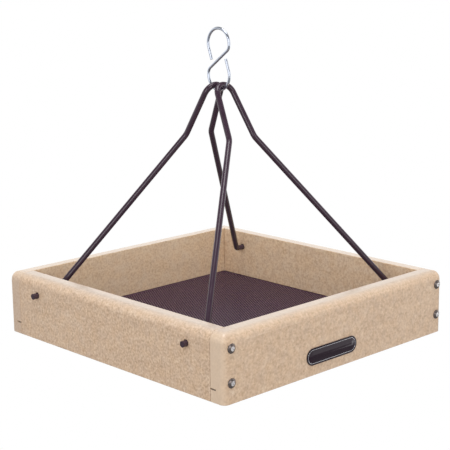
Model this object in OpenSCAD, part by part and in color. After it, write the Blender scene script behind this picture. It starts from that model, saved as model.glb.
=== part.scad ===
// Hanging platform bird feeder: a shallow square tray of four plastic lumber
// boards with a perforated metal floor, hung from two bent rods and one S-hook.
// Millimetres. The origin is the middle of the tray on the plane that it stands
// on, +Z is up, and the front board with the name plate faces -Y.

/* [Tray boards] */
// Outside width of the tray, across the two side boards
tray_w = 330.2; // [280:0.1:400]
// Outside depth of the tray, across the front and back boards
tray_d = 342.9; // [290:0.1:410]
// Thickness of the boards
board_t = 19.05; // [17:0.05:22]
// Height of the boards
board_h = 69; // [66:0.5:80]
// Radius of the roundover that runs along the top edge of the whole frame
edge_r = 9.525; // [8:0.005:12]
// Radius of the four upright corners
corner_r = 6.35; // [4:0.05:7.5]

/* [Floor] */
// Thickness of the perforated floor sheet
sheet_t = 0.8; // [0.6:0.1:1.2]
// Height of the saw kerf that the sheet slides into
kerf_h = 1.6; // [1.4:0.1:2.4]
// Depth of the kerf in the inner face of each board
kerf_depth = 7.5; // [5:0.5:9]
// Height of the kerf's lower face above the bottom of the boards
kerf_z = 12.4; // [8:0.1:16]
// Gap between the sheet's edge and the bottom of the kerf
sheet_gap = 0.8; // [0.5:0.1:1.5]

/* [Hanger rods] */
// Diameter of the rods
rod_d = 6.35; // [5.8:0.05:6.6]
// Diameter of the holes in the side boards that the feet stand in
rod_hole_d = 7.1; // [6.8:0.1:7.6]
// Height of those holes
rod_hole_z = 50.4; // [46:0.1:52]
// Distance of the holes in front of and behind the middle of the tray
rod_hole_y = 119.5; // [110:0.5:125]
// Length of a foot beyond the outer face of the board, with the rod in the middle
foot_stub = 3.6; // [3:0.1:6]
// Length of a rod from the line of its feet to the top of its arch, in its own plane
hanger_h = 251.2; // [245:0.1:255]
// Half the distance between the two foot bends
foot_half = 138.2; // [134:0.1:139]
// Height of the kinks above the feet, in the rod's plane
kink_h = 189.8; // [180:0.1:195]
// Half the distance between the two kinks
kink_half = 18.4; // [16:0.1:22]
// Bend radius at the feet, to the middle of the rod
foot_bend_r = 6; // [5.5:0.1:8]
// Bend radius at the kinks, to the middle of the rod
kink_bend_r = 16; // [10:0.5:24]
// Bend radius of the arch, to the middle of the rod
arch_r = 11.5; // [10:0.1:12.5]
// Distance of each arch from the middle of the tray, front to back
arch_y = 3.5; // [3.4:0.1:5]
// How far the rear rod has slid along its holes
rear_slide = -2.4; // [-3:0.1:3]
// How far the rear rod's arch stands to one side of its feet
rear_lean = -3.7; // [-4:0.1:4]
// How far the front rod has slid along its holes
front_slide = -1.3; // [-3:0.1:3]
// How far the front rod's arch stands to one side of its feet
front_lean = -1; // [-4:0.1:4]

/* [S-hook] */
// Diameter of the hook's wire
hook_wire_d = 3.1; // [2.6:0.1:3.4]
// Radius of both loops, to the middle of the wire
hook_loop_r = 15.9; // [15:0.1:17]
// Radius of the tighter bend from a loop into the slanting strand
hook_shoulder_r = 8; // [6:0.5:10]
// Straight length between a loop and that bend
hook_side_len = 1; // [0.8:0.1:2]
// Angle above the horizontal of the strand that joins the two loops
hook_strand_angle = 36; // [32:1:42]
// Angle that each loop's free side leans inward
hook_end_lean = 19; // [10:1:20]
// Straight length at each free end
hook_end_len = 12.9; // [8:0.1:13]
// Gap between the hook's wire and the arches that it carries
hook_gap = 0.4; // [0.4:0.05:0.6]

/* [Screws] */
// Diameter of the pan heads
head_d = 9.8; // [8:0.1:11]
// Height of the pan heads
head_h = 2.1; // [1.8:0.1:3.2]
// Diameter of the shanks
shank_d = 4.4; // [4:0.1:5]
// Length of the shanks, from under the head to the tip
shank_len = 42; // [36:1:44]
// Diameter of the pilot holes in the ends of the side boards
pilot_d = 3.4; // [3:0.1:3.6]
// Height of the lower screws
lower_screw_z = 20.7; // [18:0.1:26]
// Height of the upper screws
upper_screw_z = 54.4; // [50:0.1:55]

/* [Name plate] */
// Length of the plate
plate_l = 74.4; // [60:0.1:90]
// Height of the plate
plate_h = 17.6; // [14:0.1:20]
// Thickness of the plate at its rim
plate_rim_t = 1; // [0.8:0.1:1.5]
// Width of the rim
plate_rim_w = 1.1; // [0.8:0.1:1.5]
// Rise of the domed middle above the rim
plate_dome = 0.9; // [0.5:0.1:1.2]
// Place of the plate's middle along the front board
plate_x = -16; // [-30:0.1:30]
// Height of the plate's middle
plate_z = 19.7; // [16:0.1:30]

/* [Hidden] */
$fn = 96;

// Extra length of a cut, so that it passes clean through a face
over = 1;
// The side boards fit between the front and the back board
side_len = tray_d - 2 * board_t;
// Places of the screws: in the middle of the side boards' thickness
screw_x = (tray_w - board_t) / 2;
screw_zs = [lower_screw_z, upper_screw_z];
clearance_d = shank_d + 0.4;
pilot_len = shank_len - board_t + 2;
tip_len = 6;

// A straight run of rod or wire reaches this far into the bend beside it
bend_lap = 0.3;
// Bending swells the rod or wire by this much across
bend_swell = 0.03;

// A rod rests on the bottom of its holes
rod_z = rod_hole_z - (rod_hole_d - rod_d) / 2 + 0.05;
rod_end = tray_w / 2 + foot_stub;
// Angle from the vertical at which each rod's plane leans toward the other rod
rod_tilt = asin((rod_hole_y - arch_y) / hanger_h);
// The straight part above a kink is tangent to the arch, so it aims at a point above it
arch_centre_h = hanger_h - arch_r;
kink_to_centre = norm([kink_half, arch_centre_h - kink_h]);
upper_angle = atan2(kink_half, arch_centre_h - kink_h) - asin(arch_r / kink_to_centre);
apex_h = kink_h + kink_half / tan(upper_angle);

// The hook hangs between the two arches and carries them in its lower loop
hook_x = (rear_slide + rear_lean + front_slide + front_lean) / 2;
arch_z = rod_z + hanger_h * cos(rod_tilt);
hook_reach = hook_loop_r - hook_wire_d / 2 - rod_d / 2 - hook_gap;
lower_loop_z = arch_z + sqrt(hook_reach * hook_reach - arch_y * arch_y);
// Half the width of the slanting strand, then half its length, then the loops' distance
// from the middle of the hook
strand_reach = hook_loop_r - hook_shoulder_r * (1 - sin(hook_strand_angle));
strand_half = strand_reach / cos(hook_strand_angle);
loop_drop = hook_side_len + hook_shoulder_r * cos(hook_strand_angle)
    + strand_reach * tan(hook_strand_angle);
hook_z = lower_loop_z + loop_drop;

board_color = [0.80, 0.69, 0.58];
floor_color = [0.27, 0.20, 0.22];
rod_color = [0.20, 0.14, 0.15];
zinc_color = [0.75, 0.77, 0.80];
plate_color = [0.06, 0.05, 0.06];

// Section of what the roundover takes off the top edge of a face that stands on x = 0
module roundover_waste() {
    difference() {
        translate([-over, board_h - edge_r]) square(edge_r + over);
        translate([edge_r, board_h - edge_r]) circle(edge_r);
    }
}

// Section of a board: outer face on x = 0, bottom on y = 0, outer top edge rounded over
module board_section() {
    difference() {
        square([board_t, board_h]);
        roundover_waste();
    }
}

// Solid that stands in an upright corner: the same roundover, turned about the corner's axis
module corner_post() {
    rotate_extrude() difference() {
        square([corner_r, board_h]);
        translate([corner_r, 0]) mirror([1, 0]) roundover_waste();
    }
}

// A board that runs the whole width and covers the ends of the side boards.
// Its outer face is on y = 0 and its inner face on y = board_t.
module end_board() {
    difference() {
        translate([-tray_w / 2, 0, 0]) rotate([90, 0, 90]) linear_extrude(tray_w) board_section();
        for (end = [0, 1]) mirror([end, 0, 0]) {
            translate([-tray_w / 2, board_t / 2, 0]) rotate([90, 0, 0])
                linear_extrude(board_t + 2 * over, center = true) roundover_waste();
            translate([-tray_w / 2, 0, 0]) difference() {
                translate([-over, -over, -over])
                    cube([corner_r + over, corner_r + over, board_h + 2 * over]);
                translate([corner_r, corner_r, 0]) corner_post();
            }
        }
        kerf(tray_w + 2 * over);
        for (x = [-screw_x, screw_x], z = screw_zs)
            translate([x, -over, z]) rotate([-90, 0, 0]) cylinder(h = board_t + 2 * over, d = clearance_d);
    }
}

// Saw kerf along the inner face of a board whose inner face is on y = board_t
module kerf(length) {
    translate([-length / 2, board_t - kerf_depth, kerf_z]) cube([length, kerf_depth + over, kerf_h]);
}

// A board that fits between the front and the back board.
// Its outer face is on y = 0 and its inner face on y = board_t.
module side_board() {
    difference() {
        translate([-side_len / 2, 0, 0]) rotate([90, 0, 90]) linear_extrude(side_len) board_section();
        kerf(side_len + 2 * over);
        for (x = [-rod_hole_y, rod_hole_y])
            translate([x, -over, rod_hole_z]) rotate([-90, 0, 0])
                cylinder(h = board_t + 2 * over, d = rod_hole_d);
        for (side = [-1, 1], z = screw_zs)
            translate([side * (side_len / 2 - pilot_len / 2), board_t / 2, z]) rotate([0, 90, 0])
                cylinder(h = pilot_len + over, d = pilot_d, center = true);
    }
}

module front_board() {
    color(board_color) translate([0, -tray_d / 2, 0]) end_board();
}

module back_board() {
    color(board_color) rotate([0, 0, 180]) translate([0, -tray_d / 2, 0]) end_board();
}

module left_board() {
    color(board_color) rotate([0, 0, -90]) translate([0, -tray_w / 2, 0]) side_board();
}

module right_board() {
    color(board_color) rotate([0, 0, 90]) translate([0, -tray_w / 2, 0]) side_board();
}

module floor_screen() {
    sheet_w = tray_w - 2 * (board_t - kerf_depth + sheet_gap);
    sheet_d = tray_d - 2 * (board_t - kerf_depth + sheet_gap);
    color(floor_color) translate([-sheet_w / 2, -sheet_d / 2, kerf_z]) cube([sheet_w, sheet_d, sheet_t]);
}

function heading(a, b) = atan2(b[1] - a[1], b[0] - a[0]);
function wrapped(angle) = angle > 180 ? angle - 360 : angle < -180 ? angle + 360 : angle;
function turn_at(path, i) = wrapped(heading(path[i], path[i + 1]) - heading(path[i - 1], path[i]));
function bend_setback(path, radii, i) = radii[i] * tan(abs(turn_at(path, i)) / 2);
function along(a, b, distance) = a + (b - a) * distance / norm(b - a);

// Wire or rod of diameter d bent to a radius in the XY plane, from the X axis through an angle
module bend(radius, angle, d) {
    rotate_extrude(angle = angle) translate([radius, 0]) circle(d = d + bend_swell);
}

// Round rod bent in the XY plane: straight runs between the path's corners, and a true
// bend of the given radius at each corner
module bent_rod(path, radii, d) {
    last = len(path) - 1;
    for (i = [0 : last - 1]) {
        start_cut = i == 0 ? 0 : bend_setback(path, radii, i) - bend_lap;
        end_cut = i == last - 1 ? 0 : bend_setback(path, radii, i + 1) - bend_lap;
        start = along(path[i], path[i + 1], start_cut);
        end = along(path[i + 1], path[i], end_cut);
        translate(start) rotate([0, 90, heading(path[i], path[i + 1])])
            cylinder(h = norm(end - start), d = d);
    }
    for (i = [1 : last - 1]) {
        turn = turn_at(path, i);
        side = sign(turn);
        inward = heading(path[i - 1], path[i]);
        start = along(path[i], path[i - 1], bend_setback(path, radii, i));
        centre = start + radii[i] * side * [-sin(inward), cos(inward)];
        translate(centre) rotate([0, 0, inward - side * 90 + min(turn, 0)])
            bend(radii[i], abs(turn), d);
    }
}

// One hanger rod, upright in the XZ plane with its feet on the X axis. lean moves the arch
// sideways, and the legs with it in proportion to their height.
module hanger_rod(slide, lean) {
    kink_x = lean * kink_h / hanger_h;
    apex_x = lean * apex_h / hanger_h;
    path = [
        [-rod_end, 0], [-foot_half, 0], [kink_x - kink_half, kink_h], [apex_x, apex_h],
        [kink_x + kink_half, kink_h], [foot_half, 0], [rod_end, 0]
    ];
    radii = [0, foot_bend_r, kink_bend_r, arch_r, kink_bend_r, foot_bend_r, 0];
    translate([slide, 0, 0]) rotate([90, 0, 0]) bent_rod(path, radii, rod_d);
}

module front_hanger_rod() {
    color(rod_color) translate([0, -rod_hole_y, rod_z]) rotate([-rod_tilt, 0, 0])
        hanger_rod(front_slide, front_lean);
}

module rear_hanger_rod() {
    color(rod_color) translate([0, rod_hole_y, rod_z]) rotate([rod_tilt, 0, 0])
        hanger_rod(rear_slide, rear_lean);
}

// Lower half of the S-hook in the XY plane, below the slanting strand: the shoulder, the
// loop and its straight free end
module lower_loop() {
    translate([0, -loop_drop]) {
        translate([hook_shoulder_r - hook_loop_r, hook_side_len])
            rotate([0, 0, 90 + hook_strand_angle])
                bend(hook_shoulder_r, 90 - hook_strand_angle, hook_wire_d);
        translate([-hook_loop_r, -bend_lap, 0]) rotate([-90, 0, 0])
            cylinder(h = hook_side_len + 2 * bend_lap, d = hook_wire_d);
        rotate([0, 0, 180]) bend(hook_loop_r, 180 + hook_end_lean, hook_wire_d);
        rotate([0, 0, hook_end_lean]) translate([hook_loop_r, -bend_lap, 0]) rotate([-90, 0, 0])
            cylinder(h = hook_end_len + bend_lap, d = hook_wire_d);
    }
}

module s_hook() {
    color(zinc_color) translate([hook_x, 0, hook_z]) rotate([90, 0, -90]) {
        lower_loop();
        rotate([0, 0, 180]) lower_loop();
        rotate([0, 90, hook_strand_angle])
            cylinder(h = 2 * (strand_half + bend_lap), d = hook_wire_d, center = true);
    }
}

// Section through half of the plate's dome: a low arc from the rim up to the middle
module dome_section() {
    half = plate_h / 2 - plate_rim_w;
    arc_r = (half * half + plate_dome * plate_dome) / (2 * plate_dome);
    intersection() {
        translate([0, plate_rim_t + plate_dome - arc_r]) circle(arc_r, $fn = 240);
        square([half, plate_rim_t + plate_dome]);
    }
}

module name_plate() {
    straight = plate_l - plate_h;
    color(plate_color) translate([plate_x, -tray_d / 2, plate_z]) rotate([90, 0, 0]) {
        for (end = [-1, 1]) translate([end * straight / 2, 0, 0]) {
            cylinder(h = plate_rim_t, d = plate_h);
            rotate_extrude() dome_section();
        }
        translate([-straight / 2, -plate_h / 2, 0]) cube([straight, plate_h, plate_rim_t]);
        for (side = [0, 1]) mirror([0, side, 0]) translate([-straight / 2, 0, 0])
            rotate([90, 0, 90]) linear_extrude(straight) dome_section();
    }
}

// Pan-head screw along +Y: the underside of its head is on y = 0 and its tip points to +Y
module pan_screw() {
    recess_l = head_d / 2;
    recess_w = head_d / 9;
    recess_h = head_h * 0.6;
    bevel = head_h * 0.45;
    tip_d = 1;
    color(zinc_color) rotate([-90, 0, 0]) {
        difference() {
            union() {
                translate([0, 0, bevel - head_h]) cylinder(h = head_h - bevel, d = head_d);
                translate([0, 0, -head_h]) cylinder(h = bevel, d1 = head_d - 3 * bevel, d2 = head_d);
            }
            for (turn = [0, 90]) rotate([0, 0, turn])
                translate([-recess_l / 2, -recess_w / 2, -head_h - over])
                    cube([recess_l, recess_w, recess_h + over]);
        }
        cylinder(h = shank_len - tip_len, d = shank_d);
        translate([0, 0, shank_len - tip_len]) cylinder(h = tip_len, d1 = shank_d, d2 = tip_d);
    }
}

module front_screw(side, z) {
    translate([side * screw_x, -tray_d / 2, z]) pan_screw();
}

module back_screw(side, z) {
    translate([side * screw_x, tray_d / 2, z]) rotate([0, 0, 180]) pan_screw();
}

front_board();
back_board();
left_board();
right_board();
floor_screen();
front_hanger_rod();
rear_hanger_rod();
s_hook();
name_plate();
front_screw(-1, lower_screw_z);  // front_left_lower_screw
front_screw(-1, upper_screw_z);  // front_left_upper_screw
front_screw(1, lower_screw_z);  // front_right_lower_screw
front_screw(1, upper_screw_z);  // front_right_upper_screw
back_screw(-1, lower_screw_z);  // back_left_lower_screw
back_screw(-1, upper_screw_z);  // back_left_upper_screw
back_screw(1, lower_screw_z);  // back_right_lower_screw
back_screw(1, upper_screw_z);  // back_right_upper_screw
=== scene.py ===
import math

import bmesh
import bpy
from mathutils import Matrix, Vector


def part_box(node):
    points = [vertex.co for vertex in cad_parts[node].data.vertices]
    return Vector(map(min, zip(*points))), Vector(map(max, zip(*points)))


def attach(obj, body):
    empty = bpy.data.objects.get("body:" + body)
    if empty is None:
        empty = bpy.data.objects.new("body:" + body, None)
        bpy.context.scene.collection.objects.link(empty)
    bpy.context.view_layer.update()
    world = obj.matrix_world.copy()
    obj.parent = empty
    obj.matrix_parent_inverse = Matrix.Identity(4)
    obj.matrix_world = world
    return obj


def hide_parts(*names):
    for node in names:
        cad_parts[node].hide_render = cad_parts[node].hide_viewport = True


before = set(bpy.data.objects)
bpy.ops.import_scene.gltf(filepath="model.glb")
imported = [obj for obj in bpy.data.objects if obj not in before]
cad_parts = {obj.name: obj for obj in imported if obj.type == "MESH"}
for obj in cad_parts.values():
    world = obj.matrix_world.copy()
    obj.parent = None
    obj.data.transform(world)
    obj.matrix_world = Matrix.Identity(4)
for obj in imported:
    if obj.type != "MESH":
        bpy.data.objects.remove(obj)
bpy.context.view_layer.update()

# Front and back boards: recycled plastic lumber, sand coloured with fine lighter and darker
# granules. They cover the ends of the side boards and are screwed to them, their outer
# edges are routed round, and a saw kerf for the floor runs out through both ends.
EDGE_R = 0.009525
CORNER_R = 0.00635
SOFT_EDGE = 0.0004
SHOULDER = 0.00025
KERF_HEIGHT = 0.0016
KERF_DEPTH = 0.0075
SCREW_HOLE_R = 0.0024
OVERCUT = 0.001
SHARP_ANGLE = math.radians(50)
QUARTER_TURN = range(0, 91, 5)
front_low, front_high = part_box("front_board")
screen_low, screen_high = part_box("floor_screen")
BOARD_T = front_high.y - front_low.y
BOARD_H = front_high.z
HALF_WIDTH = front_high.x
SCREW_X = HALF_WIDTH - BOARD_T / 2
SCREW_ZS = [
    sum(corner.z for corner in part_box(f"front_left_{row}_screw")) / 2 for row in ("lower", "upper")
]
LUMBER_SHADES = [
    (0.28, (0.48, 0.33, 0.215)),
    (0.44, (0.61, 0.435, 0.295)),
    (0.56, (0.69, 0.51, 0.355)),
    (0.72, (0.79, 0.63, 0.475)),
]
# Below: the pale shade of sawn ends and rounded edges, on the edges partly painted light from above;
# a darker painted shade for the back board's sawn ends; and a whitish painted sheen for the level
# faces.
PALE_LUMBER = (0.70, 0.545, 0.405, 1)
END_PAINTED_SHADE = (0.43, 0.315, 0.262, 1)
LEVEL_PAINTED_SHEEN = (0.60, 0.53, 0.47, 1)


class Wire:
    """One socket of a shader's node tree, which takes part in sums written in Python."""

    def __init__(self, tree, socket=None):
        self.tree = tree
        self.socket = socket

    def node(self, kind, settings, inputs, output=0):
        """Adds any node: its settings come first, then the values or links of its inputs."""
        made = self.tree.nodes.new(kind)
        for name, value in settings.items():
            if name == "stops":
                while len(made.color_ramp.elements) < len(value):
                    made.color_ramp.elements.new(0.5)
                for stop, (place, shade) in zip(made.color_ramp.elements, value):
                    stop.position = place
                    stop.color = (*shade, 1) if isinstance(shade, tuple) else (shade,) * 3 + (1,)
            else:
                setattr(made, name, value)
        for name, value in inputs.items():
            if isinstance(value, Wire):
                self.tree.links.new(value.socket, made.inputs[name])
            else:
                made.inputs[name].default_value = value
        return Wire(self.tree, made.outputs[output]) if made.outputs else None

    def sum(self, operation, first, second):
        """One step of a sum, as a Math node."""
        return self.node("ShaderNodeMath", {"operation": operation}, {0: first, 1: second})

    def __add__(self, other):
        return self.sum("ADD", self, other)

    def __sub__(self, other):
        return self.sum("SUBTRACT", self, other)

    def __mul__(self, other):
        return self.sum("MULTIPLY", self, other)

    def __rsub__(self, other):
        return self.sum("SUBTRACT", other, self)

    __radd__ = __add__
    __rmul__ = __mul__


def new_finish(name):
    """An empty material and the wire that its nodes are added with."""
    finish = bpy.data.materials.new(name)
    finish.use_nodes = True
    finish.node_tree.nodes.clear()
    return finish, Wire(finish.node_tree)


def close_finish(wire, inputs):
    """Ends a finish with one plain shader that has these inputs."""
    skin = wire.node("ShaderNodeBsdfPrincipled", {}, inputs)
    wire.node("ShaderNodeOutputMaterial", {}, {"Surface": skin})


def own_place(wire):
    """Places in the piece's own frame, so that a finish stays on its piece."""
    return wire.node("ShaderNodeTexCoord", {}, {}, "Object")


def squared_normal(wire):
    """Squares of the x, y and z of the surface's normal, in the piece's own frame."""
    facing = wire.node("ShaderNodeTexCoord", {}, {}, "Normal")
    return wire.node("ShaderNodeVectorMath", {"operation": "MULTIPLY"}, {0: facing, 1: facing})


def mixed(wire, share, first, second, blend="MIX"):
    """Two colours mixed by a share from 0 to 1."""
    return wire.node(
        "ShaderNodeMix",
        {"data_type": "RGBA", "blend_type": blend},
        {0: share, 6: first, 7: second},
        2,
    )


def noise(wire, place, scale, detail=2.0):
    """Soft patches from 0 to 1, about as many to a metre as scale says."""
    return wire.node("ShaderNodeTexNoise", {}, {"Vector": place, "Scale": scale, "Detail": detail})


def bumped(wire, strength, distance, height):
    """Normals of fine dents, distance deep in metres."""
    return wire.node(
        "ShaderNodeBump", {}, {"Strength": strength, "Distance": distance, "Height": height},
    )


def lumber(name, seed, drawn, speckle, warm, end_share, end_shade):
    """Plastic lumber of one board: seed moves its granules, drawn is the stretch of the
    streaks along the board, speckle is how strongly the granules show, warm how much lighter
    and more orange the whole board is, on some boards painted fill light, and its sawn ends
    lean to end_shade by end_share. The routed edges are smoother and paler, the paleness partly
    painted light from the lamp above, and the level faces smoother, with a painted whitish sheen."""
    finish, wire = new_finish(name)
    place = wire.node(
        "ShaderNodeMapping", {},
        {"Vector": own_place(wire), "Location": (seed, seed * 0.7, seed * 1.3)},
    )
    streaks = wire.node("ShaderNodeMapping", {}, {"Vector": place, "Scale": drawn})
    grain = noise(wire, place, 400, 3)
    blotch = noise(wire, place, 130)
    streak = noise(wire, streaks, 150)
    granule = wire.node("ShaderNodeTexVoronoi", {}, {"Vector": place, "Scale": 620}, "Color")
    tone = grain * speckle + granule * (0.2 * speckle) + blotch * 0.2 + streak * 0.16
    tone = tone + (0.32 - 0.6 * speckle + warm)
    shade = wire.node("ShaderNodeValToRGB", {"stops": LUMBER_SHADES}, {"Fac": tone})
    hue = noise(wire, place, 95, 1) * 2.4 - 0.7
    yellower = (1.045 + 0.3 * warm, 0.99, 0.92 - 0.8 * warm, 1)
    bluer = (0.98 + 0.3 * warm, 0.99, 1.045 - 0.8 * warm, 1)
    shade = mixed(wire, 0.5, shade, mixed(wire, hue, yellower, bluer), "MULTIPLY")
    squared = squared_normal(wire)
    routed = 1.0 - wire.node(
        "ShaderNodeVectorMath", {"operation": "DOT_PRODUCT"}, {0: squared, 1: squared}, "Value",
    )
    sawn_end = wire.node("ShaderNodeSeparateXYZ", {}, {0: squared}, "X") * end_share
    level = wire.node("ShaderNodeSeparateXYZ", {}, {0: squared}, "Z")
    # Painted light: rounded edges lean to a paler shade, partly for the routed surface and partly as
    # light from the lamp above, and level faces lean to a whitish painted sheen.
    shade = mixed(wire, routed * 0.3, shade, PALE_LUMBER)
    # Sawn ends lean to their own shade, on the back board a darker painted shade.
    shade = mixed(wire, sawn_end, shade, end_shade)
    shade = mixed(wire, level * level * 0.6, shade, LEVEL_PAINTED_SHEEN)
    close_finish(wire, {
        "Base Color": shade,
        "Roughness": 0.32 + grain * 0.14 - (routed + level) * 0.2,
        "Normal": bumped(wire, 0.2, 0.0003, grain),
    })
    return finish


def loft(shape, loops):
    """Joins loops of points into a skin, and closes the first and the last one."""
    rings = [[shape.verts.new(point) for point in loop] for loop in loops]
    for low, high in zip(rings, rings[1:]):
        for a, b, c, d in zip(low, low[1:] + low[:1], high[1:] + high[:1], high):
            shape.faces.new((a, b, c, d))
    shape.faces.new(rings[0][::-1])
    shape.faces.new(rings[-1])
    bmesh.ops.remove_doubles(shape, verts=shape.verts, dist=1e-6)
    bmesh.ops.recalc_face_normals(shape, faces=shape.faces)


def add_block(shape, low, high):
    """A block between two corners, which cuts a slot."""
    middle = (Vector(low) + Vector(high)) / 2
    size = Vector(high) - Vector(low)
    bmesh.ops.create_cube(
        shape, size=1, matrix=Matrix.Translation(middle) @ Matrix.Diagonal((*size, 1)),
    )


def add_bar(shape, start, end, radius):
    """A round bar from start to end, which cuts a drilled hole."""
    run = Vector(end) - Vector(start)
    turn = run.to_track_quat("Z", "Y").to_matrix().to_4x4()
    bmesh.ops.create_cone(
        shape, cap_ends=True, segments=40, radius1=radius, radius2=radius, depth=run.length,
        matrix=Matrix.Translation(Vector(start) + run / 2) @ turn,
    )


def new_piece(name, shape, finishes, node):
    """A smooth piece from a bmesh, which stands for a CAD node of the tray."""
    mesh = bpy.data.meshes.new(name)
    shape.to_mesh(mesh)
    shape.free()
    mesh.polygons.foreach_set("use_smooth", [True] * len(mesh.polygons))
    for finish in finishes:
        mesh.materials.append(finish)
    piece = bpy.data.objects.new(name, mesh)
    bpy.context.scene.collection.objects.link(piece)
    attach(piece, "tray")
    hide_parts(node)
    return piece


def carve(piece, cutter):
    """Cuts the cutter's solids out of a piece, and shades it smooth between sharp edges."""
    tool_mesh = bpy.data.meshes.new("cutter")
    cutter.to_mesh(tool_mesh)
    cutter.free()
    tool = bpy.data.objects.new("cutter", tool_mesh)
    bpy.context.scene.collection.objects.link(tool)
    cut = piece.modifiers.new("holes", "BOOLEAN")
    cut.solver = "EXACT"
    cut.use_self = True
    cut.object = tool
    carved = piece.evaluated_get(bpy.context.evaluated_depsgraph_get())
    mesh = bpy.data.meshes.new_from_object(carved)
    mesh.set_sharp_from_angle(angle=SHARP_ANGLE)
    piece.modifiers.clear()
    piece.data = mesh
    even = piece.modifiers.new("flat_faces", "WEIGHTED_NORMAL")
    even.keep_sharp = True
    bpy.data.objects.remove(tool)


def board(node, outline, cutter, finish, place):
    """A board with its outer face on y = 0, lofted upward through its plan outlines."""
    routed_from = BOARD_H - EDGE_R
    levels = [(0, SOFT_EDGE, SOFT_EDGE), (SOFT_EDGE, 0, 0), (routed_from - SHOULDER / 2, 0, 0)]
    for angle in QUARTER_TURN:
        turn = math.radians(angle)
        height = routed_from + EDGE_R * math.sin(turn)
        inset = EDGE_R - (EDGE_R - SHOULDER) * math.cos(turn)
        levels.append((height, inset, max(height - BOARD_H + SOFT_EDGE, 0)))
    shape = bmesh.new()
    loft(shape, [
        [(x, y, height) for x, y in outline(inset, inner_inset)]
        for height, inset, inner_inset in levels
    ])
    piece = new_piece(node + "_lumber", shape, [finish], node)
    carve(piece, cutter)
    piece.data.transform(place)


def soft_inset(inset):
    """Where a joint's soft edge ends, at the level where the roundover has this inset."""
    lean = min((EDGE_R - inset) / (EDGE_R - SHOULDER), 1)
    rise = EDGE_R * math.sqrt(1 - lean * lean)
    return EDGE_R - math.sqrt(max((EDGE_R - SOFT_EDGE) ** 2 - rise * rise, 0))


def end_outline(inset, inner_inset):
    """Plan of an end board, round at its outer corners and bevelled at its inner ones."""
    inner = BOARD_T - inner_inset
    half = [(soft_inset(inset) - HALF_WIDTH, inner), (inset - HALF_WIDTH, inner - SOFT_EDGE)]
    radius = max(CORNER_R - inset, 0)
    middle = inset + radius
    dent = SHOULDER if inset < SHOULDER else 0
    for angle in QUARTER_TURN:
        turn = math.radians(180 + angle)
        half.append((
            middle - HALF_WIDTH + radius * math.cos(turn), middle + radius * math.sin(turn) + dent,
        ))
    half.append((middle - HALF_WIDTH + SHOULDER / 2, inset))
    return half + [(-x, y) for x, y in half[::-1]]


def kerf_cutter(half_length):
    """A cutter for a board, with the saw kerf that holds the floor screen."""
    cutter = bmesh.new()
    add_block(
        cutter,
        (-half_length - OVERCUT, BOARD_T - KERF_DEPTH, screen_low.z),
        (half_length + OVERCUT, BOARD_T + OVERCUT, screen_low.z + KERF_HEIGHT),
    )
    return cutter


def about_z(angle):
    """A turn about the upright axis by an angle in degrees."""
    return Matrix.Rotation(math.radians(angle), 4, "Z")


for node, seed, speckle, warm, end_share, end_shade, turn in (
    ("front_board", 3.1, 0.6, -0.012, 0.7, PALE_LUMBER, 0),
    # The back board is lighter, as painted fill light on its inner face in the tray's shade, and its
    # sawn ends are darkened again, as painted shade.
    ("back_board", 7.7, 0.8, 0.14, 0.5, END_PAINTED_SHADE, 180),
):
    cutter = kerf_cutter(HALF_WIDTH)
    for x in (-SCREW_X, SCREW_X):
        for z in SCREW_ZS:
            add_bar(cutter, (x, -OVERCUT, z), (x, BOARD_T + OVERCUT, z), SCREW_HOLE_R)
    board(
        node, end_outline, cutter,
        lumber("lumber_" + node, seed, (0.12, 1, 1), speckle, warm, end_share, end_shade),
        about_z(turn) @ Matrix.Translation((0, front_low.y, 0)),
    )

# Left and right boards: the same plastic lumber between the front and the back board. Each
# has two drilled holes for the feet of the hanger rods, and pilot holes for the screws.
HALF_SIDE = -front_high.y
JOINT_GAP = 0.0002
ROD_HOLE_R = 0.00355
ROD_HOLE_X = 0.1195
ROD_HOLE_Z = 0.0504
PILOT_R = 0.0017
PILOT_DEPTH = 0.025


def side_outline(inset, inner_inset):
    """Plan of a side board, bevelled at its corners, with a fine joint gap at both ends."""
    end = HALF_SIDE - JOINT_GAP
    inner = BOARD_T - inner_inset
    half = [
        (SOFT_EDGE - end, inner), (inner_inset - end, inner - SOFT_EDGE),
        (inner_inset - end, soft_inset(inset)), (SOFT_EDGE - end, inset),
    ]
    return half + [(-x, y) for x, y in half[::-1]]


for node, seed, speckle, warm, turn in (
    ("left_board", 11.3, 0.85, -0.03, -90),
    # The right board is lighter, as painted fill light on its inner face in the tray's shade.
    ("right_board", 17.9, 0.8, 0.12, 90),
):
    cutter = kerf_cutter(HALF_SIDE)
    for x in (-ROD_HOLE_X, ROD_HOLE_X):
        add_bar(
            cutter, (x, -OVERCUT, ROD_HOLE_Z), (x, BOARD_T + OVERCUT, ROD_HOLE_Z), ROD_HOLE_R,
        )
    for side in (-1, 1):
        for z in SCREW_ZS:
            add_bar(
                cutter,
                (side * (HALF_SIDE - PILOT_DEPTH), BOARD_T / 2, z),
                (side * (HALF_SIDE + OVERCUT), BOARD_T / 2, z),
                PILOT_R,
            )
    board(
        node, side_outline, cutter,
        lumber("lumber_" + node, seed, (1, 0.12, 1), speckle, warm, 0, PALE_LUMBER),
        about_z(turn) @ Matrix.Translation((0, -HALF_WIDTH, 0)),
    )

# Floor screen: thin steel sheet punched with small six-sided holes in staggered rows, powder
# coated dark bronze. It lies in the saw kerf round the inside of the boards.
HOLE_PITCH = 0.003175
HOLE_R = 0.00118
PUNCHED_WIDTH = 0.2901
PUNCHED_DEPTH = 0.3028
# A face whose points balance about the middle, to this much, goes to the back half.
ON_MIDDLE = 1e-9


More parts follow.
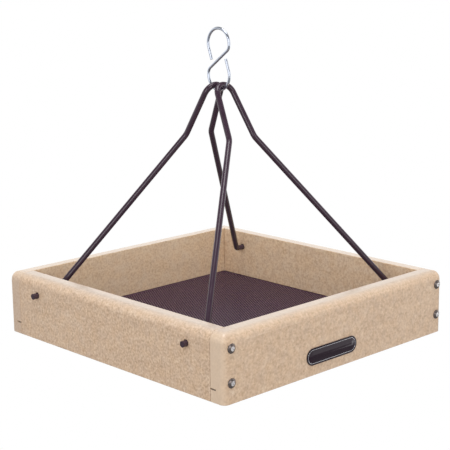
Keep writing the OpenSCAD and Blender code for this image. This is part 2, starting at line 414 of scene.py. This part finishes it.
def punched_sheet():
    """Points (x, y) of the whole sheet, and its flat faces, the rims of its holes and its
    outer edge as indices of points. A rim runs anticlockwise from 30 degrees, and the faces
    fill the gaps between a hole and its neighbours to the right and in the next row."""
    row_step = HOLE_PITCH * math.sin(math.radians(60))
    columns = int((PUNCHED_WIDTH - 2 * HOLE_R) / HOLE_PITCH) + 1
    rows = int((PUNCHED_DEPTH - 2 * HOLE_R) / row_step)
    rows -= 1 - rows % 2
    points, rims = [], {}
    for j in range(rows):
        short = j % 2
        for i in range(columns - short):
            x = (i - (columns - 1 - short) / 2) * HOLE_PITCH
            y = (j - (rows - 1) / 2) * row_step
            rims[i, j] = [len(points) + k for k in range(6)]
            for k in range(6):
                turn = math.radians(30 + 60 * k)
                points.append((x + HOLE_R * math.cos(turn), y + HOLE_R * math.sin(turn)))
    faces = []
    for (i, j), rim in rims.items():
        right = rims.get((i + 1, j))
        if right:
            faces.append((rim[0], rim[5], right[3], right[2]))
        short = j % 2
        up_right = rims.get((i + short, j + 1))
        up_left = rims.get((i + short - 1, j + 1))
        if up_right:
            faces.append((rim[1], rim[0], up_right[4], up_right[3]))
        if up_left:
            faces.append((rim[2], rim[1], up_left[5], up_left[4]))
        if up_right and up_left:
            faces.append((rim[1], up_right[3], up_left[5]))
        if right and up_right:
            faces.append((rim[0], right[2], up_right[4]))
    left_side, right_side = [], []
    for j in range(rows):
        first, last = rims[0, j], rims[columns - 1 - j % 2, j]
        left_side += [first[3], first[2]] if j % 2 else [first[4], first[3], first[2], first[1]]
        right_side += [last[5], last[0]] if j % 2 else [last[4], last[5], last[0], last[1]]
    bottom_side, top_side = [], []
    for i in range(columns):
        first, last = rims[i, 0], rims[i, rows - 1]
        bottom_side += [first[3]] * (i > 0) + [first[4]] + [first[5]] * (i < columns - 1)
        top_side += [last[2]] * (i > 0) + [last[1]] + [last[0]] * (i < columns - 1)
    edge = []

    def margin(side, place):
        """Plain sheet between the outermost holes of one side and the sheet's edge."""
        outer = []
        for index in side:
            outer.append(len(points))
            points.append(place(*points[index]))
        for a, b, c, d in zip(side, side[1:], outer[1:], outer):
            faces.append((a, b, c, d))
        edge.extend(zip(outer, outer[1:]))
        return outer

    left = margin(left_side, lambda x, y: (screen_low.x, y))
    right = margin(right_side, lambda x, y: (screen_high.x, y))
    bottom = margin(bottom_side, lambda x, y: (x, screen_low.y))
    top = margin(top_side, lambda x, y: (x, screen_high.y))
    for inner, along, across, corner in (
        (left_side[0], left[0], bottom[0], (screen_low.x, screen_low.y)),
        (right_side[0], right[0], bottom[-1], (screen_high.x, screen_low.y)),
        (left_side[-1], left[-1], top[0], (screen_low.x, screen_high.y)),
        (right_side[-1], right[-1], top[-1], (screen_high.x, screen_high.y)),
    ):
        faces.append((inner, along, len(points), across))
        edge += [(along, len(points)), (len(points), across)]
        points.append(corner)
    return points, faces, list(rims.values()), edge


points, faces, rims, edge = punched_sheet()
under = len(points)
sheet_points = [(x, y, z) for z in (screen_high.z, screen_low.z) for x, y in points]
sheet_faces = []


def turning(a, b):
    """Positive where the way from point a to point b runs anticlockwise round the middle."""
    return points[a][0] * points[b][1] - points[b][0] * points[a][1]


for face in faces:
    if sum(turning(a, b) for a, b in zip(face, face[1:] + face[:1])) <= 0:
        face = face[::-1]
    sheet_faces += [face, tuple(k + under for k in face[::-1])]
for rim in rims:
    for a, b in zip(rim, rim[1:] + rim[:1]):
        sheet_faces.append((a, b, b + under, a + under))
for a, b in edge:
    if turning(a, b) > 0:
        a, b = b, a
    sheet_faces.append((a, b, b + under, a + under))

coat, wire = new_finish("bronze_coat_screen")
mottle = noise(wire, own_place(wire), 40, 3)
orange_peel = noise(wire, own_place(wire), 1500, 1)
flat = wire.node("ShaderNodeSeparateXYZ", {}, {0: squared_normal(wire)}, "Z")
coat_shade = mixed(wire, mottle, (0.082, 0.041, 0.067, 1), (0.120, 0.061, 0.101, 1))
close_finish(wire, {
    # Painted shade: the hole walls, which are not flat, get a near-black base colour.
    "Base Color": mixed(wire, flat, (0.008, 0.004, 0.006, 1), coat_shade),
    "Roughness": 0.3 + mottle * 0.16,
    "Normal": bumped(wire, 0.15, 0.0002, orange_peel),
    "Specular IOR Level": 0.35,
})

for name, behind in (("floor_screen_front", False), ("floor_screen_back", True)):
    kept = [
        face for face in sheet_faces
        if (sum(sheet_points[k][1] for k in face) > -ON_MIDDLE) == behind
    ]
    used = sorted({k for face in kept for k in face})
    number = {k: n for n, k in enumerate(used)}
    mesh = bpy.data.meshes.new(name)
    mesh.from_pydata(
        [sheet_points[k] for k in used], [], [tuple(number[k] for k in face) for face in kept],
    )
    mesh.materials.append(coat)
    half = bpy.data.objects.new(name, mesh)
    bpy.context.scene.collection.objects.link(half)
    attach(half, "tray")
    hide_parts("floor_screen")

# Hanger rods: quarter inch mild steel rod, bent cold into one piece each and powder coated
# dark bronze after bending. The feet stand in the holes of the side boards.


def dress(node, finish):
    """Gives a CAD node its finish."""
    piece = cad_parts[node]
    piece.data.materials.clear()
    piece.data.materials.append(finish)


coat, wire = new_finish("bronze_coat_rod")
mottle = noise(wire, own_place(wire), 60, 3)
orange_peel = noise(wire, own_place(wire), 1200, 1)
close_finish(wire, {
    "Base Color": mixed(wire, mottle, (0.032, 0.016, 0.028, 1), (0.054, 0.029, 0.048, 1)),
    "Roughness": 0.11 + mottle * 0.1,
    "Normal": bumped(wire, 0.04, 0.0002, orange_peel),
    "Specular IOR Level": 0.6,
})
for node in ("front_hanger_rod", "rear_hanger_rod"):
    dress(node, coat)

# S-hook: steel wire, bent to two open loops and bright zinc plated. It hangs round both
# rod arches and is free to swing.
plating, wire = new_finish("bright_zinc")
haze = noise(wire, own_place(wire), 250, 3)
close_finish(wire, {
    "Base Color": mixed(wire, haze, (0.63, 0.68, 0.80, 1), (0.77, 0.82, 0.92, 1)),
    "Metallic": 1.0,
    "Roughness": 0.1 + haze * 0.12,
})
dress("s_hook", plating)

# Screws: steel washer-head screws with a cross recess, driven through the front and back
# boards into the ends of the side boards. The flange is painted dark and the crown painted
# bright, as painted reflections of the dim and the bright surroundings.
MM = 0.001
# Radius and depth below the face of the board, from the tip to the crown, in mm. The head
# stands out of the board, where the depth is negative.
SCREW_PROFILE = (
    (0.5, 42), (2.2, 36), (2.2, 0), (4.6, 0), (4.88, -0.12), (4.9, -0.5), (4.75, -0.72),
    (4.3, -0.95), (3.7, -1.25), (3.1, -1.6), (2.8, -1.85), (2.5, -2.0), (2.1, -2.07),
    (1.2, -2.1), (0.2, -2.1),
)
SCREW_SIDES = 48
# The two slots of the cross: half their sizes along and across, and their two depths.
RECESS_SLOTS = ((0.0021, 0.0006, -0.004, -0.0009), (0.0006, 0.0021, -0.0041, -0.00095))
CROWN_R = 0.0023
FLANGE_R = 0.0028
steel, wire = new_finish("screw_steel")
place = own_place(wire)
across = wire.node("ShaderNodeVectorMath", {"operation": "MULTIPLY"}, {0: place, 1: (1, 0, 1)})
radius = wire.node("ShaderNodeVectorMath", {"operation": "LENGTH"}, {0: across}, "Value")
haze = noise(wire, place, 900, 3)
flange = wire.node(
    "ShaderNodeMapRange", {}, {0: radius + haze * 0.0006, 1: CROWN_R, 2: FLANGE_R},
)
# Painted reflection: a dark base colour on the flange and a near-white one on the crown.
close_finish(wire, {
    "Base Color": mixed(wire, flange, (0.92, 0.90, 0.90, 1), (0.20, 0.165, 0.155, 1)),
    "Metallic": 0.5 + flange * 0.2,
    "Roughness": 0.26 - flange * 0.08 + haze * 0.1,
})
for name, recess_turn in (
    ("front_left_lower", 62), ("front_left_upper", 20), ("front_right_lower", 48),
    ("front_right_upper", 5), ("back_left_lower", 31), ("back_left_upper", 77),
    ("back_right_lower", 14), ("back_right_upper", 55),
):
    shape = bmesh.new()
    turns = [math.tau * k / SCREW_SIDES for k in range(SCREW_SIDES)]
    loft(shape, [
        [(MM * r * math.cos(turn), MM * y, MM * r * math.sin(turn)) for turn in turns]
        for r, y in SCREW_PROFILE
    ])
    screw = new_piece(name + "_screw_steel", shape, [steel], name + "_screw")
    recess = bmesh.new()
    for half_x, half_z, top, bottom in RECESS_SLOTS:
        add_block(recess, (-half_x, top, -half_z), (half_x, bottom, half_z))
    carve(screw, recess)
    screw.data.transform(Matrix.Rotation(math.radians(recess_turn), 4, "Y"))
    low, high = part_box(name + "_screw")
    at_front = name.startswith("front")
    outer_face = front_low.y if at_front else -front_low.y
    screw.location = ((low.x + high.x) / 2, outer_face, (low.z + high.z) / 2)
    screw.rotation_euler = (0, 0, 0 if at_front else math.pi)

# Name plate: gloss black domed resin with a thin silver line inside its rim, stuck on the
# front board. It is left bare.
LINE_FROM = 0.0017
LINE_TO = 0.0021
# Distance in from the outline and height above the board, in mm, of the rim, the groove
# and the line in it. The dome goes on from the last point.
PLATE_RIM = (
    (0, 0), (0, 0.8), (0.1, 0.95), (0.3, 1.0), (1.5, 1.0), (1.65, 0.9), (1.7, 0.85),
    (1.8, 0.94), (1.9, 0.97), (2.0, 0.94), (2.1, 0.85), (2.15, 0.9),
)
DOME_RISE = 0.98
DOME_STEPS = 8
DOME_FLAT = 0.2
resin, wire = new_finish("black_resin")
haze = noise(wire, own_place(wire), 300)
close_finish(wire, {
    "Base Color": mixed(wire, haze, (0.011, 0.004, 0.010, 1), (0.022, 0.009, 0.019, 1)),
    "Roughness": 0.05 + haze * 0.06,
})
foil, wire = new_finish("silver_line")
haze = noise(wire, own_place(wire), 900)
close_finish(wire, {
    "Base Color": mixed(wire, haze, (0.74, 0.74, 0.78, 1), (0.88, 0.88, 0.92, 1)),
    "Metallic": 0.9,
    "Roughness": 0.15 + haze * 0.1,
})
plate_low, plate_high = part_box("name_plate")
plate_middle = (plate_low + plate_high) / 2
plate_r = (plate_high.z - plate_low.z) / 2
plate_straight = (plate_high.x - plate_low.x) / 2 - plate_r
dome_from, dome_foot = PLATE_RIM[-1]
dome_run = plate_r / MM - dome_from - DOME_FLAT
plate_profile = list(PLATE_RIM)
for step in range(1, DOME_STEPS + 1):
    share = step / DOME_STEPS
    plate_profile.append((
        dome_from + dome_run * share, dome_foot + DOME_RISE * (1 - (1 - share) ** 2),
    ))
loops = []
for inset, height in plate_profile:
    radius = plate_r - inset * MM
    loop = []
    for end in (1, -1):
        for angle in range(-90, 91, 9):
            turn = math.radians(angle)
            x = end * (plate_straight + radius * math.cos(turn))
            loop.append((x, -MM * height, end * radius * math.sin(turn)))
    loops.append(loop)
shape = bmesh.new()
loft(shape, loops)
plate = new_piece("name_plate_resin", shape, [resin, foil], "name_plate")
for face in plate.data.polygons:
    past_straight = max(abs(face.center.x) - plate_straight, 0)
    if LINE_FROM < plate_r - math.hypot(past_straight, face.center.z) < LINE_TO:
        face.material_index = 1
plate.location = (plate_middle.x, front_low.y, plate_middle.z)

# Photo studio: a plain white floor well below the hanging feeder, white surroundings, a large
# softbox above, a tall one at either side of the camera, a small one low at the right, and
# the camera at the photograph's place.
ROOM_GLOW = 0.76
FLOOR_GLOW = 0.26
FLOOR_Z = -2.6
FLOOR_HALF = 9
BACK_WALL = (0.69, 0.72, 0)
world = bpy.data.worlds.new("studio")
bpy.context.scene.world = world
world.use_nodes = True
world.node_tree.nodes.clear()
wire = Wire(world.node_tree)
seen = wire.node("ShaderNodeLightPath", {}, {}, "Is Camera Ray")
clear = wire.node("ShaderNodeLightPath", {}, {}, "Is Transmission Ray")
mirrored = wire.node("ShaderNodeLightPath", {}, {}, "Is Glossy Ray")
# What gloss and metal see: bright walls between a dim floor and ceiling, and dimmer where
# the wall is the one behind the camera.
way = wire.node("ShaderNodeTexCoord", {}, {}, "Generated")
height = wire.node("ShaderNodeSeparateXYZ", {}, {0: way}, "Z")
belt = wire.node(
    "ShaderNodeValToRGB",
    {"stops": [(0.0, 0.2), (0.26, 0.2), (0.36, 1.0), (0.62, 1.0), (0.78, 0.25), (1.0, 0.25)]},
    {"Fac": height * 0.5 + 0.5},
)
backdrop = wire.node(
    "ShaderNodeVectorMath", {"operation": "DOT_PRODUCT"}, {0: way, 1: BACK_WALL}, "Value",
)
wall = wire.node("ShaderNodeMapRange", {}, {0: backdrop, 1: -0.5, 2: 0.3, 3: 0.45, 4: 1.0})
brightness = seen + clear + mirrored * belt * wall + (1.0 - seen - clear - mirrored) * ROOM_GLOW
glow = wire.node(
    "ShaderNodeBackground", {}, {"Color": (1, 1, 1, 1), "Strength": brightness},
)
wire.node("ShaderNodeOutputWorld", {}, {"Surface": glow})

floor_mesh = bpy.data.meshes.new("studio_floor")
floor_mesh.from_pydata(
    [(x * FLOOR_HALF, y * FLOOR_HALF, FLOOR_Z) for x, y in ((-1, -1), (1, -1), (1, 1), (-1, 1))],
    [], [(0, 1, 2, 3)],
)
studio_floor = bpy.data.objects.new("studio_floor", floor_mesh)
bpy.context.scene.collection.objects.link(studio_floor)
sweep, wire = new_finish("white_sweep")
seen = wire.node("ShaderNodeLightPath", {}, {}, "Is Camera Ray")
mirrored = wire.node("ShaderNodeLightPath", {}, {}, "Is Glossy Ray")
paper = wire.node("ShaderNodeBsdfDiffuse", {}, {"Color": (0.75, 0.75, 0.75, 1)})
shaded = wire.node("ShaderNodeEmission", {}, {"Color": (1, 1, 1, 1), "Strength": FLOOR_GLOW})
white = wire.node("ShaderNodeEmission", {}, {"Color": (1, 1, 1, 1), "Strength": 1.0})
paper = wire.node("ShaderNodeMixShader", {}, {0: mirrored, 1: paper, 2: shaded})
paper = wire.node("ShaderNodeMixShader", {}, {0: seen, 1: paper, 2: white})
wire.node("ShaderNodeOutputMaterial", {}, {"Surface": paper})
floor_mesh.materials.append(sweep)

for name, place, aim, size, brightness in (
    ("softbox_top", (-0.1, -0.12, 1.6), (0, 0, 0.05), (1.0, 1.0), 4.1),
    ("softbox_left", (-1.65, -0.65, 0.62), (0, 0, 0.05), (0.5, 1.2), 3.2),
    ("softbox_right", (-0.2, -1.85, 0.62), (0, 0, 0.05), (0.5, 1.2), 2.25),
    ("softbox_low", (1.7, -1.3, -0.45), (0.15, -0.17, 0.05), (0.5, 0.5), 1.3),
):
    light = bpy.data.lights.new(name, "AREA")
    light.shape = "RECTANGLE"
    light.size, light.size_y = size
    light.energy = brightness * math.pi * size[0] * size[1]
    lamp = bpy.data.objects.new(name, light)
    lamp.location = place
    lamp.rotation_euler = (Vector(aim) - Vector(place)).to_track_quat("-Z", "Y").to_euler()
    bpy.context.scene.collection.objects.link(lamp)

FOCAL_PIXELS = 1263.5
PHOTO_PIXELS = 450
SENSOR_MM = 36
CAMERA_PLACE = (-0.9270, -0.9720, 0.4175)
# Degrees to the right of +Y, downward, and of roll.
CAMERA_ANGLES = (43.71, 12.50, -0.69)
turn, dip, roll = (math.radians(angle) for angle in CAMERA_ANGLES)
forward = Vector((
    math.sin(turn) * math.cos(dip), math.cos(turn) * math.cos(dip), -math.sin(dip),
))
level = Vector((math.cos(turn), -math.sin(turn), 0))
rise = level.cross(forward)
across = level * math.cos(roll) + rise * math.sin(roll)
upward = rise * math.cos(roll) - level * math.sin(roll)
camera_data = bpy.data.cameras.new("camera")
camera_data.sensor_width = SENSOR_MM
camera_data.lens = FOCAL_PIXELS / PHOTO_PIXELS * SENSOR_MM
camera = bpy.data.objects.new("camera", camera_data)
bpy.context.scene.collection.objects.link(camera)
camera_turn = Matrix((across, upward, -forward)).transposed().to_4x4()
camera.matrix_world = Matrix.Translation(CAMERA_PLACE) @ camera_turn
bpy.context.scene.camera = camera
bpy.context.scene.view_settings.view_transform = "Standard"
